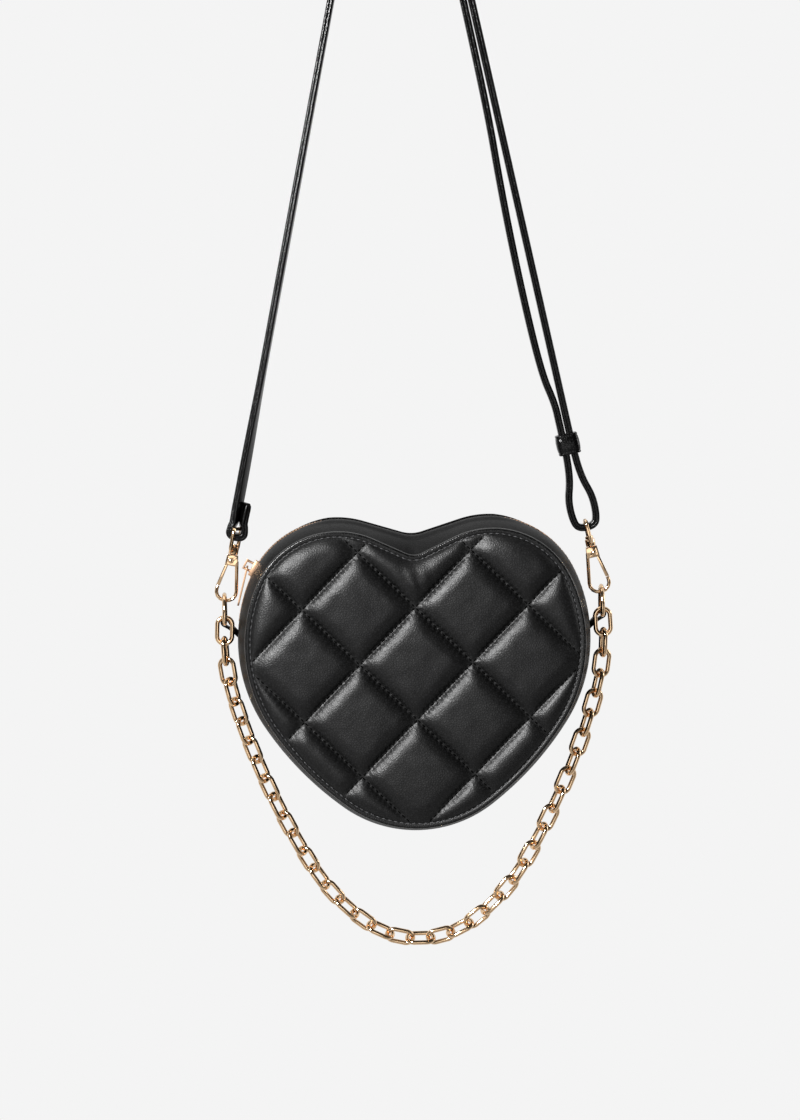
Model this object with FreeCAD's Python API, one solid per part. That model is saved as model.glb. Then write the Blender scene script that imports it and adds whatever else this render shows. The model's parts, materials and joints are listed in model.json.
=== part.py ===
import FreeCAD, Part
import math
import os

from FreeCAD import Placement, Rotation, Vector

# A heart shaped purse hanging by its shoulder strap, with a chain handle below.
# Millimetres, front towards -Y. Heights are worked out from the level of the two lobe centres,
# and the whole is then hung from the strap.

os.makedirs("parts", exist_ok=True)

# Heart outline at the seams: each arc is a radius and the direction, in degrees, where it ends
LOBE_X = 40.5
LOBE_R = 45.8
LOBE_END = 25.0
SIDE_R = 79.0
SIDE_END = -33.0
FLANK_R = 166.0
FLANK_END = -53.0
SEAM_SLOPE = 25.0
SEAM_CLEFT_R = 10.0

# Gusset, fullest halfway between the seams
GUSSET_DEPTH = 50.0
CREST = 4.0
CREST_SLOPE = 17.0
CREST_CLEFT_R = 20.0
LEATHER = 1.6
TAPE = 0.9
LINING = 0.8
GUSSET_SPLIT_Z = -9.0
ZIP_GAP = 12.0
CREST_HALF_DEPTH = 12.0
GUSSET_PROFILE = ((GUSSET_DEPTH / 2, 0.0), (CREST_HALF_DEPTH, 1.0))
TAPE_WIDTH = 10.5
LAYER_GAP = 0.1

# Quilted panels
PANEL_EDGE = 3.0
PANEL_CROWN = 2.0
PANEL_BEVEL = 2.5
QUILT_HALF_DIAGONAL = 29.6
QUILT_CENTRE_Z = 5.3
CHANNEL_DEPTH = 2.4
CHANNEL_HALF_WIDTH = 2.6
CHANNEL_ROWS = 2

# Zip
TOOTH_PITCH = 3.0
TOOTH_LENGTH = 1.1
TOOTH_HEIGHT = 1.8
TOOTH_REACH = 2.4
TOOTH_OVERLAP = 0.6
STOP_HEIGHT = 1.5
TAPE_UNDER_TOOTH = 1.0
SLIDER_ANGLE = 30.0
SLIDER_LENGTH = 8.5
SLIDER_PLATE = 1.2
SLIDER_FLANGE_Y = 3.1
SLIDER_FLANGE = 0.9
SLIDER_LIFT = 0.5
RAIL_LIFT = 0.3
CROWN_HEIGHT = 4.4
CROWN_REACH = 2.2
CROWN_LEG_R = 0.65
CROWN_BAR = 1.0
PULL_LENGTH = 22.0
PULL_WIDTH = 4.0
PULL_THICK = 1.0
PULL_HOLE_R = 1.1
PULL_LEAN = 14.8
PULL_LIFT = 1.9

# Side tabs and rings
RING_X = 100.0
RING_Z = -3.2
RING_WIRE_R = 1.2
RING_INNER_WIDTH = 14.0
RING_HEIGHT = 14.7
RING_CORNER_R = 2.0
RING_SIDES = 8
BEND_STEP = 30.0
TAB_BORE_GAP = 0.06
TAB_LEATHER = 1.2
TAB_FRONT_Y = -1.0
TAB_BACK_Y = 6.5
TAB_ANCHOR = Vector(91.0, 0, -12.0)

# Snap hooks: heights along the hook from the middle of the wire at its foot
HOOK_LEAN = 11.8
HOOK_FOOT_Z = 8.6
HOOK_WIRE_R = 1.0
HOOK_HALF_WIDTH = 6.2
HOOK_BEND_R = 4.8
SPINE_TOP_V = -2.7
HOOK_TIP_V = 4.9
HOOK_TIP_HEIGHT = 7.0
HEAD_HALF_WIDTH = 3.3
HEAD_BOTTOM = 18.8
HEAD_TOP = 24.6
HEAD_HALF_DEPTH = 2.4
HEAD_TAPER = 0.4
SLOT_HALF_DEPTH = 1.3
SLOT_TOP = 23.6
SLOT_BACK = -1.6
PIN_V = 0.6
PIN_HEIGHT = 21.4
PIN_R = 0.8
PIN_HEAD_R = 1.5
PIN_HEAD = 0.6
GATE_LUG_R = 1.9
GATE_GAP = 0.05
GATE_HALF_DEPTH = 1.0
GATE_END_GAP = 0.35
GATE_END_HALF = 0.95
GATE_TOP = 0.9
GATE_NOSE_V = 2.7
GATE_NOSE_DROP = 0.6
GATE_BACK_DROP = 2.4
GATE_HEEL = 0.6
GATE_HEEL_DROP = 1.2
LUG_FRONT = -1.1
LUG_BACK = 0.1
SPRING_WIRE = 0.34
SPRING_R = 1.2
SPRING_TURNS = 2
SPRING_STEPS = 10
SPRING_PITCH = 0.36
SPRING_GAP = 0.1
SPRING_SLACK = 0.02
STEM_R = 1.3
STEM_HEAD_R = 2.1
STEM_HEAD = 1.3
STEM_PLAY = 0.3
SWIVEL_GAP = 0.05
COLLAR_BOTTOM = 25.0
COLLAR_TOP = 28.6
COLLAR_R = 2.6
EYE_BOTTOM = 26.8
EYE_BAR = 38.5
EYE_HALF_WIDTH = 5.35
EYE_WIRE_R = 1.1
EYE_CORNER_R = 2.2
EYE_SIDES = 6
LEFT_EYE_TURN = 20.0

# Chain handle: arcs from its lowest point upwards, each a radius and the slope where it ends
CHAIN_BELLY_END = 36.5
CHAIN_ARCS = ((106.0, 59.0), (378.0, 74.0), (115.0, 94.5))
CHAIN_LINKS = 39
CHAIN_Y = -4.0
LINK_WIRE_R = 1.2
LINK_INNER_WIDTH = 5.6
LINK_GAP = 0.7
LINK_ROLL_LEFT = 42.0
LINK_ROLL_RIGHT = 14.0
LINK_ROLL_STEP = 12.0
LINK_SIDES = 6
LINK_BEND_STEP = 45.0

# Shoulder strap, a flat band on edge to the front. Each stop of its middle line is out from the hook's axis,
# up along it, and the radius of the bend there.
STRAP_THICK = 3.7
STRAP_WIDTH = 6.5
STRAND = 2.1
FOLD_R = 4.45
LOOP_HALF_WIDTH = 5.7
LOOP_R = 5.5
LOOP_BOTTOM = 35.25
APEX_R = 12.0
FOLD_STOPS = ((41.0, 12.0), (47.5, 12.0), (47.5, 20.0))
TAIL_TOP = 53.0
LOOP_STOPS = ((STRAND, 72.0, 100.0), (5.6, 45.0, 60.0), (LOOP_HALF_WIDTH, LOOP_BOTTOM, LOOP_R))
SLACK_STOPS = ((STRAND, 100.0, 400.0), (5.2, 150.0, 500.0), (4.9, 205.0, 500.0), (STRAND, 260.0, 500.0))
FREE_END = 345.0
KEEPER_BOTTOM = 75.0
END_KEEPER_BOTTOM = 331.0
KEEPER_HEIGHT = 11.0
KEEPER_WALL = 1.7
KEEPER_SLACK = 0.2
KEEPER_ROUND = 1.36

LEAN_SIN = math.sin(math.radians(HOOK_LEAN))
LEAN_COS = math.cos(math.radians(HOOK_LEAN))
SEAM_Y = GUSSET_DEPTH / 2
BIG = 400.0
PROUD = 1.0
TOUCHING = 1e-6


def polar(centre, radius, degrees):
    angle = math.radians(degrees)
    return Vector(centre.x + radius * math.cos(angle), 0, centre.z + radius * math.sin(angle))


def arc(start, middle, end):
    return Part.Arc(start, middle, end).toShape()


def line(start, end):
    return Part.LineSegment(start, end).toShape()


def flip(point):
    return Vector(-point.x, point.y, point.z)


def mirrored(shape):
    return shape.mirror(Vector(0, 0, 0), Vector(1, 0, 0))


def box(x0, x1, y0, y1, z0, z1):
    return Part.makeBox(x1 - x0, y1 - y0, z1 - z0, Vector(x0, y0, z0))


def heart_edges(grow, slope, cleft_r):
    """The heart's edges in order, clockwise from the cleft, with every arc grown outwards by one amount."""
    centre = Vector(LOBE_X, 0, 0)
    radius = LOBE_R
    start = 90 + slope
    shoulder = polar(centre, radius + grow, start)
    tilt = math.radians(slope)
    cleft = Vector(0, 0, shoulder.z - shoulder.x * math.tan(tilt) + cleft_r / math.cos(tilt))
    cleft_end = cleft + Vector(cleft_r * math.sin(tilt), 0, -cleft_r * math.cos(tilt))
    right = [(cleft_end, None, shoulder)]
    tip_direction = math.cos(math.radians(FLANK_END))
    for next_radius, end in ((SIDE_R, LOBE_END), (FLANK_R, SIDE_END), (None, FLANK_END)):
        arc_points = [polar(centre, radius + grow, a) for a in (start, (start + end) / 2, end)]
        right.append(arc_points)
        if next_radius is None:
            next_radius = radius + centre.x / tip_direction
        centre = polar(centre, radius - next_radius, end)
        radius = next_radius
        start = end
    tip = [polar(centre, radius + grow, a) for a in (FLANK_END, -90, -180 - FLANK_END)]
    left = [(flip(c), flip(b) if b else None, flip(a)) for a, b, c in reversed(right)]
    cleft_arc = (flip(cleft_end), cleft - Vector(0, 0, cleft_r), cleft_end)
    outline = [cleft_arc] + right + [tip] + left
    return [arc(a, b, c) if b else line(a, c) for a, b, c in outline]


def heart_wire(grow, slope, cleft_r, y):
    wire = Part.Wire(heart_edges(grow, slope, cleft_r))
    wire.translate(Vector(0, y, 0))
    return wire


def seam_wire(grow, y):
    return heart_wire(grow, SEAM_SLOPE, SEAM_CLEFT_R - min(grow, 0), y)


def bulge_wire(inset, fullness, y):
    """The gusset's outline at one depth: fullness 0 at the seams, 1 along the middle."""
    slope = SEAM_SLOPE + (CREST_SLOPE - SEAM_SLOPE) * fullness
    cleft_r = SEAM_CLEFT_R + (CREST_CLEFT_R - SEAM_CLEFT_R) * fullness
    return heart_wire(CREST * fullness - inset, slope, cleft_r + inset, y)


def bag_block(inset):
    """The bag's body between the seams, taken in by inset all round."""
    front = [(-y, fullness) for y, fullness in GUSSET_PROFILE]
    back = [(y, fullness) for y, fullness in reversed(GUSSET_PROFILE)]
    return Part.makeLoft([bulge_wire(inset, fullness, y) for y, fullness in front + back], True, True)


def layer(outer, inner):
    return bag_block(outer).cut(bag_block(inner))


def above_split(y0, y1):
    return box(-BIG, BIG, y0, y1, GUSSET_SPLIT_Z, BIG)


def plain_panel():
    """A padded heart with a bevelled face, in front of the front seam."""
    edge_y = -SEAM_Y - PANEL_EDGE
    face_y = edge_y - PANEL_CROWN
    sections = [seam_wire(0, -SEAM_Y), seam_wire(0, edge_y), seam_wire(-PANEL_BEVEL, face_y)]
    return Part.makeLoft(sections, True, True)


def channel(row, turn):
    """One stitched channel of the quilting, a long groove at 45 degrees across the face."""
    face_y = -SEAM_Y - PANEL_EDGE - PANEL_CROWN
    corners = [
        Vector(-BIG, face_y - LAYER_GAP, -CHANNEL_HALF_WIDTH),
        Vector(-BIG, face_y + CHANNEL_DEPTH, 0),
        Vector(-BIG, face_y - LAYER_GAP, CHANNEL_HALF_WIDTH),
    ]
    groove = Part.Face(Part.makePolygon(corners + corners[:1])).extrude(Vector(2 * BIG, 0, 0))
    groove.rotate(Vector(0, 0, 0), Vector(0, 1, 0), turn)
    groove.translate(Vector(2 * QUILT_HALF_DIAGONAL * row, 0, QUILT_CENTRE_Z))
    return groove


def quilted_panel():
    grooves = []
    for row in range(-CHANNEL_ROWS, CHANNEL_ROWS + 1):
        grooves += [channel(row, 45), channel(row, -45)]
    return plain_panel().cut(grooves)


def zip_points():
    """Evenly spaced points along the top of the tape, half a tooth pitch apart, from left to right."""
    edges = heart_edges(CREST - LEATHER, CREST_SLOPE, CREST_CLEFT_R + LEATHER)
    path = Part.Wire(edges[-3:] + edges[:4])
    count = int(path.Length / (TOOTH_PITCH / 2))
    points = path.discretize(Number=count)
    if points[0].x > 0:
        points.reverse()
    return points


def on_tape(points, index, length, y0, y1, height):
    """A block standing on the tape at one of its points."""
    along = (points[index + 1] - points[index - 1]).normalize()
    outward = Vector(-along.z, 0, along.x)
    block = Part.makeBox(length, y1 - y0, height, Vector(-length / 2, y0, 0))
    block.Placement = Placement(points[index], Rotation(along, Vector(0, 1, 0), outward, "XYZ"))
    return block


def zip_row(points, first, y0, y1):
    margin = 2 * TOOTH_PITCH
    spots = [i for i in range(first, len(points) - 1, 2) if points[i].z > GUSSET_SPLIT_Z + margin]
    return Part.makeCompound([on_tape(points, i, TOOTH_LENGTH, y0, y1, TOOTH_HEIGHT) for i in spots])


def zip_stops(points):
    margin = TOOTH_PITCH
    spots = [i for i in range(1, len(points) - 1) if points[i].z > GUSSET_SPLIT_Z + margin]
    ends = (spots[0], spots[-1])
    blocks = [on_tape(points, i, TOOTH_PITCH, -TOOTH_REACH, TOOTH_REACH, STOP_HEIGHT) for i in ends]
    return Part.makeCompound(blocks)


def slider_place(along, lift):
    """Where a point of the slider is: along the zip from its middle, and lifted from the crest. Left lobe."""
    turn = 90 - SLIDER_ANGLE
    base = polar(Vector(-LOBE_X, 0, 0), LOBE_R + CREST, 180 - SLIDER_ANGLE)
    local = Placement(base, Rotation(Vector(0, 1, 0), -turn))
    return local.multVec(Vector(along, 0, lift))


def zip_slider():
    """Top plate, two flanges beside the teeth and the crown that the pull hangs on."""
    half = SLIDER_LENGTH / 2
    low = SLIDER_LIFT
    top = low + SLIDER_PLATE
    outer = SLIDER_FLANGE_Y + SLIDER_FLANGE
    plate = box(-half, half, -outer, outer, low, top)
    rail = box(-half, half, SLIDER_FLANGE_Y, outer, -LEATHER + RAIL_LIFT, low)
    other_rail = rail.mirror(Vector(0, 0, 0), Vector(0, 1, 0))
    leg = Part.makeCylinder(CROWN_LEG_R, CROWN_HEIGHT - CROWN_BAR / 2, Vector(-CROWN_REACH, 0, top))
    other_leg = leg.translated(Vector(2 * CROWN_REACH, 0, 0))
    bar_z = top + CROWN_HEIGHT - CROWN_BAR
    bar_end = CROWN_REACH + CROWN_LEG_R
    bar = box(-bar_end, bar_end, -CROWN_LEG_R, CROWN_LEG_R, bar_z, bar_z + CROWN_BAR)
    slider = plate.multiFuse([rail, other_rail, leg, other_leg, bar]).removeSplitter()
    slider.Placement = Placement(slider_place(0, 0), Rotation(Vector(0, 1, 0), SLIDER_ANGLE - 90))
    return slider


def pull_eye():
    return slider_place(-CROWN_REACH, SLIDER_LIFT + SLIDER_PLATE + PULL_LIFT)


def zip_pull():
    """A flat bar hanging from the crown's lower leg, leaning out over the gusset's bulge."""
    half = PULL_WIDTH / 2
    head = Part.makeCylinder(half, PULL_THICK, Vector(0, 0, -PULL_THICK / 2))
    foot = head.translated(Vector(PULL_LENGTH - PULL_WIDTH, 0, 0))
    bar = box(0, PULL_LENGTH - PULL_WIDTH, -half, half, -PULL_THICK / 2, PULL_THICK / 2)
    hole = Part.makeCylinder(PULL_HOLE_R, 2 * PULL_THICK, Vector(0, 0, -PULL_THICK))
    pull = head.multiFuse([bar, foot]).removeSplitter().cut(hole)
    pull.Placement = Placement(pull_eye(), Rotation(Vector(0, 1, 0), 90 + PULL_LEAN))
    return pull


def corners(points, radii, closed=False):
    """The rounded corners of a route in the XZ plane: start, middle, end, centre, radius, turn in degrees."""
    found = []
    count = len(points)
    inner = range(count) if closed else range(1, count - 1)
    for i in inner:
        here = points[i]
        before = (here - points[i - 1]).normalize()
        after = (points[(i + 1) % count] - here).normalize()
        turn = math.degrees(math.atan2(before.x * after.z - before.z * after.x, before.dot(after)))
        radius = radii[i]
        reach = radius * math.tan(math.radians(abs(turn)) / 2)
        start = here - before * reach
        side = Vector(-before.z, 0, before.x) * math.copysign(1, turn)
        centre = start + side * radius
        middle = centre + (here - centre).normalize() * radius
        found.append((start, middle, here + after * reach, centre, radius, turn))
    return found


def bent(points, radii, closed=False, step=BEND_STEP):
    """Points along a route with its corners rounded: a few on every bend."""
    line_points = [] if closed else [points[0]]
    for start, middle, end, centre, radius, turn in corners(points, radii, closed):
        steps = math.ceil(abs(turn) / step - TOUCHING)
        for k in range(steps + 1):
            angle = math.radians(turn * k / steps)
            arm = start - centre
            x = arm.x * math.cos(angle) - arm.z * math.sin(angle)
            z = arm.x * math.sin(angle) + arm.z * math.cos(angle)
            at = centre + Vector(x, 0, z)
            if not line_points or (at - line_points[-1]).Length > TOUCHING:
                line_points.append(at)
    if closed:
        return line_points
    return line_points + [points[-1]]


def wire(route, wire_r, sides, closed=False):
    """A many-sided wire along a route in the XZ plane, mitred at every point."""
    count = len(route)
    rings = []
    for i, at in enumerate(route):
        before = at - route[i - 1] if closed or i else route[1] - at
        after = route[(i + 1) % count] - at if closed or i < count - 1 else before
        before.normalize()
        after.normalize()
        along = (before + after).normalize()
        across = Vector(-along.z, 0, along.x) * (wire_r / along.dot(before))
        angles = [2 * math.pi * (n + 0.5) / sides for n in range(sides)]
        rings.append([at + across * math.cos(a) + Vector(0, wire_r * math.sin(a), 0) for a in angles])
    pairs = list(zip(rings, rings[1:]))
    faces = []
    if closed:
        pairs.append((rings[-1], rings[0]))
    else:
        faces = [Part.Face(Part.makePolygon(end + end[:1])) for end in (rings[0], rings[-1])]
    for a, b in pairs:
        for n in range(sides):
            faces.append(Part.Face(Part.makePolygon([a[n - 1], a[n], b[n], b[n - 1], a[n - 1]])))
    shape = Part.Solid(Part.Shell(faces))
    return shape if shape.Volume > 0 else shape.reversed()


def ring():
    """A D-ring in the XZ plane, its straight bar along the bottom at the origin."""
    half = RING_INNER_WIDTH / 2 + RING_WIRE_R
    top = Vector(0, 0, RING_HEIGHT)
    points = [Vector(-half, 0, 0), Vector(half, 0, 0), Vector(half, 0, 0) + top, Vector(-half, 0, 0) + top]
    return wire(bent(points, [RING_CORNER_R, RING_CORNER_R, half, half], True), RING_WIRE_R, RING_SIDES, True)


def standing_ring():
    shape = ring()
    shape.rotate(Vector(0, 0, 0), Vector(0, 0, 1), 90)
    shape.translate(Vector(RING_X, 0, RING_Z))
    return shape


def side_tab(bag):
    """A strip folded round the ring's bar and sewn into the gusset's cross seam."""
    bore = RING_WIRE_R + TAB_BORE_GAP
    bar = Vector(RING_X, TAB_FRONT_Y, RING_Z)
    depth = TAB_BACK_Y - TAB_FRONT_Y
    back = Vector(0, 1, 0)
    loop = Part.makeCylinder(bore + TAB_LEATHER, depth, bar, back)
    anchor = TAB_ANCHOR + Vector(0, TAB_FRONT_Y, 0)
    along = (anchor - bar).normalize()
    side = Vector(-along.z, 0, along.x) * TAB_LEATHER
    outline = [bar + side, anchor + side, anchor - side, bar - side, bar + side]
    stem = Part.Face(Part.makePolygon(outline)).extrude(back * depth)
    hole = Part.makeCylinder(bore, depth, bar, back)
    return loop.fuse(stem).removeSplitter().cut(hole).cut(bag)


def hook_body():
    """Bent wire, slotted head and swivel stem of a snap hook, upright, gate side towards +X."""
    points = [
        Vector(SPINE_TOP_V, 0, PIN_HEIGHT),
        Vector(-HOOK_HALF_WIDTH, 0, 0),
        Vector(HOOK_HALF_WIDTH, 0, 0),
        Vector(HOOK_TIP_V, 0, HOOK_TIP_HEIGHT),
    ]
    shank = wire(bent(points, [0, HOOK_BEND_R, HOOK_BEND_R, 0]), HOOK_WIRE_R, RING_SIDES)
    head_outline = [
        Vector(-HEAD_HALF_WIDTH - HEAD_TAPER, -HEAD_HALF_DEPTH, HEAD_BOTTOM),
        Vector(HEAD_HALF_WIDTH, -HEAD_HALF_DEPTH, HEAD_BOTTOM),
        Vector(HEAD_HALF_WIDTH - HEAD_TAPER, -HEAD_HALF_DEPTH, HEAD_TOP),
        Vector(-HEAD_HALF_WIDTH + HEAD_TAPER, -HEAD_HALF_DEPTH, HEAD_TOP),
    ]
    head_face = Part.Face(Part.makePolygon(head_outline + head_outline[:1]))
    head = head_face.extrude(Vector(0, 2 * HEAD_HALF_DEPTH, 0))
    slot = box(SLOT_BACK, BIG, -SLOT_HALF_DEPTH, SLOT_HALF_DEPTH, HEAD_BOTTOM - PROUD, SLOT_TOP)
    stem_top = COLLAR_TOP + STEM_PLAY
    stem = Part.makeCylinder(STEM_R, stem_top - HEAD_TOP, Vector(0, 0, HEAD_TOP))
    stem_head = Part.makeCylinder(STEM_HEAD_R, STEM_HEAD, Vector(0, 0, stem_top))
    pin_hole = Part.makeCylinder(PIN_R, 2 * BIG, Vector(PIN_V, -BIG, PIN_HEIGHT), Vector(0, 1, 0))
    body = shank.multiFuse([head, stem, stem_head]).removeSplitter()
    return body.cut([slot, pin_hole])


def hook_gate():
    """Lever from the pin down to the hook's tip, cut away where the spring coils beside its lug."""
    back = Vector(0, 1, 0)
    lug = Part.makeCylinder(GATE_LUG_R, LUG_BACK - LUG_FRONT, Vector(PIN_V, LUG_FRONT, PIN_HEIGHT), back)
    end = HOOK_TIP_HEIGHT + GATE_END_GAP
    outline = [
        Vector(PIN_V, -GATE_HALF_DEPTH, PIN_HEIGHT + GATE_TOP),
        Vector(GATE_NOSE_V, -GATE_HALF_DEPTH, PIN_HEIGHT - GATE_NOSE_DROP),
        Vector(HOOK_TIP_V + GATE_END_HALF, -GATE_HALF_DEPTH, end),
        Vector(HOOK_TIP_V - GATE_END_HALF, -GATE_HALF_DEPTH, end),
        Vector(PIN_V + GATE_TOP, -GATE_HALF_DEPTH, PIN_HEIGHT - GATE_BACK_DROP),
        Vector(PIN_V - GATE_HEEL, -GATE_HALF_DEPTH, PIN_HEIGHT - GATE_HEEL_DROP),
    ]
    arm = Part.Face(Part.makePolygon(outline + outline[:1])).extrude(back * (2 * GATE_HALF_DEPTH))
    spring_room = Part.makeCylinder(SPRING_R + SPRING_WIRE, BIG, Vector(PIN_V, LUG_BACK, PIN_HEIGHT), back)
    bore = Part.makeCylinder(PIN_R + GATE_GAP, 2 * BIG, Vector(PIN_V, -BIG, PIN_HEIGHT), back)
    return lug.fuse(arm).removeSplitter().cut([spring_room, bore])


def gate_pin():
    """A rivet with a flat head on either side of the hook's head."""
    back = Vector(0, 1, 0)
    front = Vector(PIN_V, -HEAD_HALF_DEPTH, PIN_HEIGHT)
    shank = Part.makeCylinder(PIN_R, 2 * HEAD_HALF_DEPTH, front, back)
    near = Part.makeCylinder(PIN_HEAD_R, PIN_HEAD, front - back * PIN_HEAD, back)
    far = Part.makeCylinder(PIN_HEAD_R, PIN_HEAD, front + back * (2 * HEAD_HALF_DEPTH), back)
    return shank.multiFuse([near, far]).removeSplitter()


def gate_spring():
    """Torsion spring of square wire, coiled round the pin beside the gate's lug."""
    half = SPRING_WIRE / 2 - SPRING_SLACK
    first_y = LUG_BACK + SPRING_GAP + half
    square = [(-half, -half), (half, -half), (half, half), (-half, half), (-half, -half)]
    steps = SPRING_TURNS * SPRING_STEPS
    sections = []
    for k in range(steps + 1):
        turn = math.radians(360 * k / SPRING_STEPS)
        outward = Vector(math.cos(turn), 0, math.sin(turn))
        at = Vector(PIN_V, first_y + k * SPRING_PITCH / SPRING_STEPS, PIN_HEIGHT)
        corner_points = [at + outward * (SPRING_R + a) + Vector(0, b, 0) for a, b in square]
        sections.append(Part.makePolygon(corner_points))
    return Part.makeLoft(sections, True, True)


def swivel_eye(turn):
    """Closed bail with a collar that turns on the hook's stem."""
    half = Vector(EYE_HALF_WIDTH, 0, 0)
    low = Vector(0, 0, EYE_BOTTOM)
    high = Vector(0, 0, EYE_BAR)
    points = [low - half, low + half, high + half, high - half]
    bail = wire(bent(points, [EYE_CORNER_R] * 4, True), EYE_WIRE_R, EYE_SIDES, True)
    collar = Part.makeCylinder(COLLAR_R, COLLAR_TOP - COLLAR_BOTTOM, Vector(0, 0, COLLAR_BOTTOM))
    bore = Part.makeCylinder(STEM_R + SWIVEL_GAP, COLLAR_TOP, Vector(0, 0, COLLAR_BOTTOM - PROUD))
    eye = bail.fuse(collar).removeSplitter().cut(bore)
    eye.rotate(Vector(0, 0, 0), Vector(0, 0, 1), 90 + turn)
    return eye


def on_right(shape):
    """Lean an upright hook piece in line with the strap, over the right ring."""
    lean = Placement(Vector(RING_X, 0, HOOK_FOOT_Z), Rotation(Vector(0, 1, 0), -HOOK_LEAN))
    moved = shape.copy()
    moved.Placement = lean.multiply(shape.Placement)
    return moved


def beside_hook(side, out, up):
    """A point in the strap's plane: out from the hook's axis, and up along it. side is 1 right, -1 left."""
    x = RING_X + out * LEAN_COS - up * LEAN_SIN
    z = HOOK_FOOT_Z + out * LEAN_SIN + up * LEAN_COS
    return Vector(side * x, 0, z)


def strap_route():
    """Corner points of the strap's middle line with their radii, from the sewn tail to the free end."""
    apex_x = APEX_R * math.tan(math.radians(90 - HOOK_LEAN) / 2)
    apex = (STRAND, (RING_X + STRAND * LEAN_COS - apex_x) / LEAN_SIN, APEX_R)
    (widest, widest_r), (neck, tail_r), (neck_again, main_r) = FOLD_STOPS
    fold = EYE_BAR - FOLD_R
    left = [(-STRAND, TAIL_TOP, 0), (-STRAND, neck, tail_r), (-FOLD_R, widest, widest_r)]
    left += [(-FOLD_R, fold, FOLD_R), (FOLD_R, fold, FOLD_R)]
    left += [(FOLD_R, widest, widest_r), (STRAND, neck_again, main_r), apex]
    back_up = [(-out, up, radius) for out, up, radius in LOOP_STOPS[::-1] + SLACK_STOPS]
    right = [apex] + list(LOOP_STOPS) + back_up + [(-STRAND, FREE_END, 0)]
    stops = [(-1, *stop) for stop in left] + [(1, *stop) for stop in right]
    points = [beside_hook(side, out, up) for side, out, up, radius in stops]
    return points, [stop[3] for stop in stops]


def strap():
    """The flat band: its two faces run half a thickness either side of the route."""
    points, radii = strap_route()
    bends = corners(points, radii)

    def side(offset):
        first = (points[1] - points[0]).normalize()
        last = (points[-1] - points[-2]).normalize()
        here = points[0] + Vector(-first.z, 0, first.x) * offset
        edges = []
        for start, middle, end, centre, radius, turn in bends:
            shift = math.copysign(offset, offset * turn) / radius
            shifted = [p + (centre - p) * shift for p in (start, middle, end)]
            if (shifted[0] - here).Length > TOUCHING:
                edges.append(line(here, shifted[0]))
            edges.append(arc(*shifted))
            here = shifted[2]
        finish = points[-1] + Vector(-last.z, 0, last.x) * offset
        return edges + [line(here, finish)], edges[0].Vertexes[0].Point, finish

    half = STRAP_THICK / 2
    near, near_start, near_end = side(half)
    far, far_start, far_end = side(-half)
    outline = near + [line(near_end, far_end)] + far[::-1] + [line(far_start, near_start)]
    face = Part.Face(Part.Wire(outline))
    band = face.extrude(Vector(0, STRAP_WIDTH, 0))
    band.translate(Vector(0, -STRAP_WIDTH / 2, 0))
    length = sum((b - a).Length for a, b in zip(points, points[1:]))
    for start, middle, end, centre, radius, turn in bends:
        bend = math.radians(abs(turn))
        length += radius * (bend - 2 * math.tan(bend / 2))
    print("strap radii", [round(r, 1) for r in radii], "length", round(length, 1))
    by_length = length * STRAP_THICK * STRAP_WIDTH
    print("strap volume", round(band.Volume), "section times length", round(by_length))
    return band


def keeper(bottom):
    """A leather band round both strands of the doubled strap."""
    x = STRAND + STRAP_THICK / 2 + KEEPER_SLACK
    y = STRAP_WIDTH / 2 + KEEPER_SLACK
    top = bottom + KEEPER_HEIGHT
    outside = box(-x - KEEPER_WALL, x + KEEPER_WALL, -y - KEEPER_WALL, y + KEEPER_WALL, bottom, top)
    upright = [e for e in outside.Edges if abs(e.tangentAt(e.FirstParameter).z) > 0.9]
    return outside.makeFillet(KEEPER_ROUND, upright).cut(box(-x, x, -y, y, bottom - PROUD, top + PROUD))


def chain_arcs():
    """The belly's radius is what brings the chain's ends out to the rings."""
    start = CHAIN_BELLY_END
    out = 0
    for radius, end in CHAIN_ARCS:
        out += radius * (math.sin(math.radians(end)) - math.sin(math.radians(start)))
        start = end
    belly = (RING_X - out) / math.sin(math.radians(CHAIN_BELLY_END))
    return ((belly, CHAIN_BELLY_END),) + CHAIN_ARCS


def chain_point(distance):
    """Place and slope on the chain at a distance from its lowest point, positive to the right."""
    rest = abs(distance)
    x = z = start = 0.0
    for radius, end in chain_arcs():
        run = min(rest, radius * math.radians(end - start))
        angle = start + math.degrees(run / radius)
        x += radius * (math.sin(math.radians(angle)) - math.sin(math.radians(start)))
        z += radius * (math.cos(math.radians(start)) - math.cos(math.radians(angle)))
        rest -= run
        start = angle
    side = math.copysign(1, distance)
    return Vector(side * x, CHAIN_Y, z), side * start


def chain_half_length():
    start = 0.0
    length = 0.0
    for radius, end in chain_arcs():
        length += radius * math.radians(end - start)
        start = end
    return length


def chain_pitch():
    return (2 * chain_half_length() + LINK_GAP + 2 * RING_WIRE_R) / CHAIN_LINKS


def link_inner():
    return chain_pitch() + LINK_GAP


def chain_level():
    """Height of the chain's lowest point."""
    return Vector(0, 0, RING_Z - chain_point(chain_half_length())[0].z)


def link():
    """One oval link lying along X in the XZ plane."""
    half = LINK_INNER_WIDTH / 2 + LINK_WIRE_R
    side = Vector(0, 0, half)
    reach = Vector(link_inner() / 2 + LINK_WIRE_R, 0, 0)
    points = [-reach - side, reach - side, reach + side, side - reach]
    return wire(bent(points, [half] * 4, True, LINK_BEND_STEP), LINK_WIRE_R, LINK_SIDES, True)


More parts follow.
